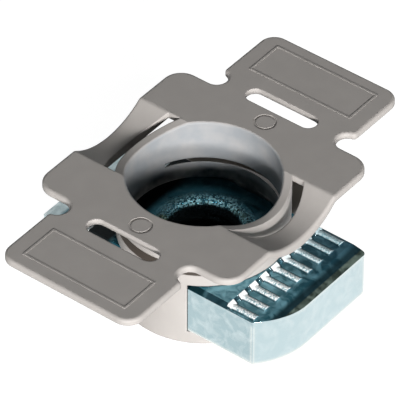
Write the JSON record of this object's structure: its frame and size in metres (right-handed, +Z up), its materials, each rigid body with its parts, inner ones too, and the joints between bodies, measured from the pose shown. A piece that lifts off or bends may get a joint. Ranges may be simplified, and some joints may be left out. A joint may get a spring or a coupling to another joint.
{
  "type": "channel nut in a plastic holder",
  "caption": "Steel bar nut with ridged ends and a tapped hole, caged in a plastic holder whose bowed strips clip it under the lips of an installation channel.",
  "frame": {"origin": "middle of the foot ring, on the floor the part stands on", "axes": "+X along the plate, from tab to tab, which is along the channel; +Y along the nut bar, across the channel; +Z up along the tapped hole"},
  "size_m": [0.0542, 0.036, 0.0185],
  "materials": {
    "grey_plastic": "satin moulded grey",
    "zinc_plated_steel": "bright bluish zinc plating"
  },
  "bodies": {
    "root": {"holder_clip": "grey_plastic", "channel_nut": "zinc_plated_steel"}
  },
  "joints": []
}
